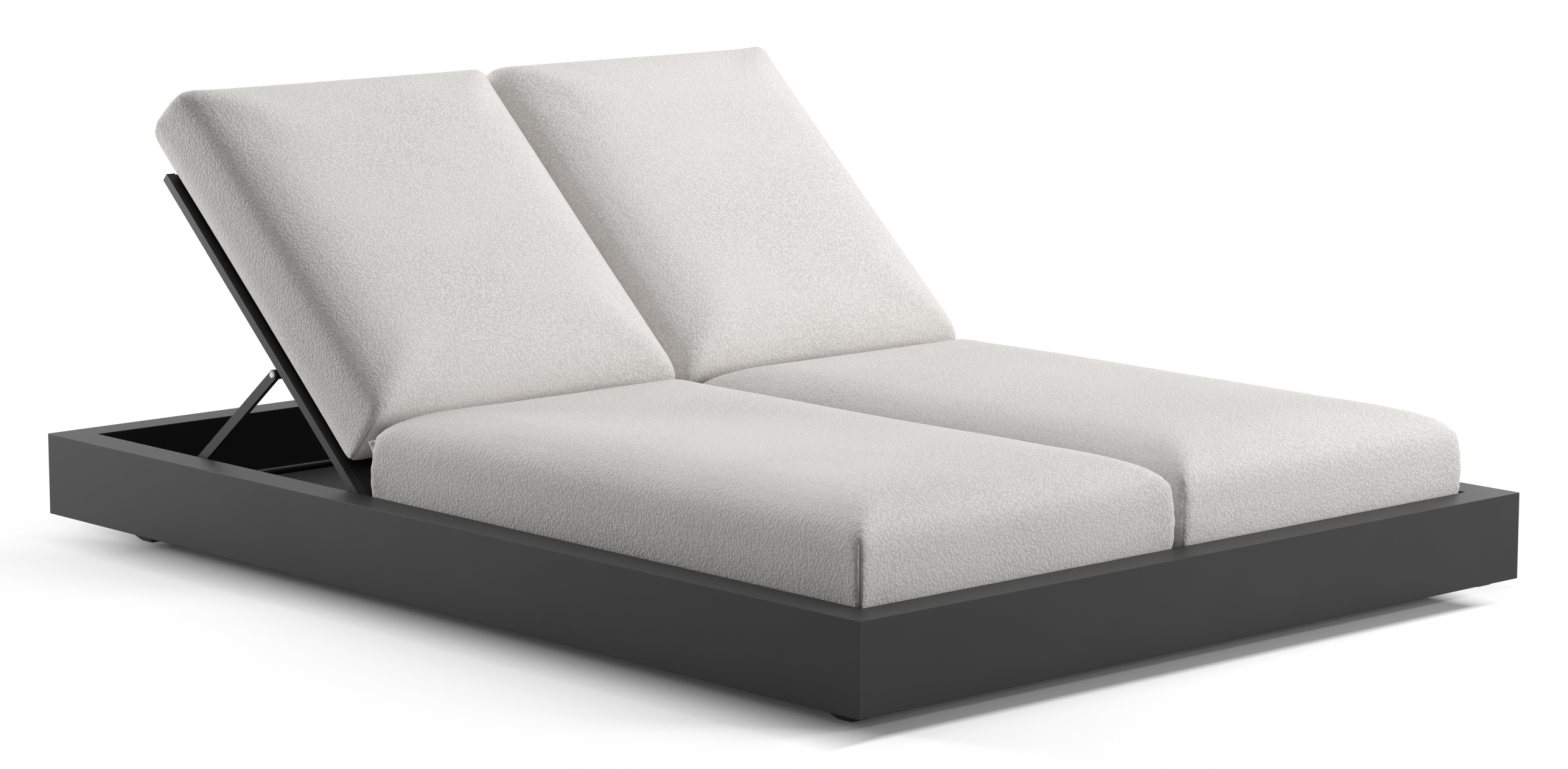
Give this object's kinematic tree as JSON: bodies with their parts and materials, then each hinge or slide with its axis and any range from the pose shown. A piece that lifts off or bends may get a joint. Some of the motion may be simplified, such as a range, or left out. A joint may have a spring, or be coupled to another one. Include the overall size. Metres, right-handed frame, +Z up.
{
  "type": "double chaise lounger",
  "caption": "Low two-place lounger with a hollow box frame, deep seat cushions and two propped backrests that fold flat.",
  "frame": {"origin": "on the ground under the middle of the base frame", "axes": "+X across the two places, +Y from the foot end to the head end, +Z up"},
  "size_m": [1.6, 2.266, 0.8492],
  "materials": {
    "frame": "charcoal powder coat, fine matt texture",
    "inner_frame": "charcoal powder coat",
    "fabric": "off-white woven boucle over foam",
    "rubber": "black moulded",
    "steel": "plain"
  },
  "bodies": {
    "base": {"side_rail_left": "frame", "side_rail_right": "frame", "foot_rail": "frame", "head_rail": "frame", "pads": "rubber", "centre_beam": "inner_frame", "hinge_rail": "inner_frame", "centre_rib": "inner_frame", "cross_rail_left_1": "inner_frame", "cross_rail_left_2": "inner_frame", "cross_rail_left_3": "inner_frame", "cross_rail_right_1": "inner_frame", "cross_rail_right_2": "inner_frame", "cross_rail_right_3": "inner_frame", "seat_deck_left": "inner_frame", "seat_deck_right": "inner_frame", "floor_sheet_left": "inner_frame", "floor_sheet_right": "inner_frame", "floor_angle_left": "inner_frame", "floor_angle_right": "inner_frame", "head_ledge": "inner_frame", "rack_left_outer": "inner_frame", "rack_left_inner": "inner_frame", "rack_right_outer": "inner_frame", "rack_right_inner": "inner_frame", "rack_screws": "steel", "hinge_lugs": "inner_frame", "hinge_pins": "steel", "seat_cushion_left": "fabric", "seat_cushion_right": "fabric"},
    "back_left": {"back_rail_left_outer": "frame", "back_rail_left_inner": "frame", "back_bottom_member_left": "frame", "back_top_member_left": "frame", "back_panel_left": "frame", "back_stiffeners_left": "frame", "strut_lugs_left": "frame", "strut_pins_left": "steel", "back_caps_left": "rubber"},
    "strut_left": {"strut_leg_left_outer": "frame", "strut_leg_left_inner": "frame", "strut_bar_left": "frame", "strut_sleeves_left": "rubber"},
    "cushion_left": {"back_cushion_left": "fabric"},
    "back_right": {"back_rail_right_outer": "frame", "back_rail_right_inner": "frame", "back_bottom_member_right": "frame", "back_top_member_right": "frame", "back_panel_right": "frame", "back_stiffeners_right": "frame", "strut_lugs_right": "frame", "strut_pins_right": "steel", "back_caps_right": "rubber"},
    "strut_right": {"strut_leg_right_outer": "frame", "strut_leg_right_inner": "frame", "strut_bar_right": "frame", "strut_sleeves_right": "rubber"},
    "cushion_right": {"back_cushion_right": "fabric"}
  },
  "joints": [
    {"name": "back_left_tilt", "type": "hinge", "parent": "base", "child": "back_left", "pos_m": [0, 0.1925, 0.1035], "axis": [1, 0, 0], "range_deg": [-42.1, 18]},
    {"name": "strut_left_swing", "type": "hinge", "parent": "back_left", "child": "strut_left", "pos_m": [0, 0.50201, 0.35014], "axis": [1, 0, 0], "range_deg": [-34, 79.2]},
    {"name": "cushion_left_slide", "type": "slide", "parent": "back_left", "child": "cushion_left", "axis": [0, 0.742, 0.6704], "range_m": [-0.0865, 0.0372]},
    {"name": "back_right_tilt", "type": "hinge", "parent": "base", "child": "back_right", "pos_m": [0, 0.1925, 0.1035], "axis": [1, 0, 0], "range_deg": [-42.1, 18]},
    {"name": "strut_right_swing", "type": "hinge", "parent": "back_right", "child": "strut_right", "pos_m": [0, 0.50201, 0.35014], "axis": [1, 0, 0], "range_deg": [-34, 79.2]},
    {"name": "cushion_right_slide", "type": "slide", "parent": "back_right", "child": "cushion_right", "axis": [0, 0.742, 0.6704], "range_m": [-0.0865, 0.0372]}
  ],
  "couplings": [
    {"joint": "strut_left_swing", "follows": "back_left_tilt", "ratio": -1.874},
    {"joint": "cushion_left_slide", "follows": "back_left_tilt", "m_per_rad": 0.11704},
    {"joint": "strut_right_swing", "follows": "back_right_tilt", "ratio": -1.874},
    {"joint": "cushion_right_slide", "follows": "back_right_tilt", "m_per_rad": 0.11704}
  ]
}
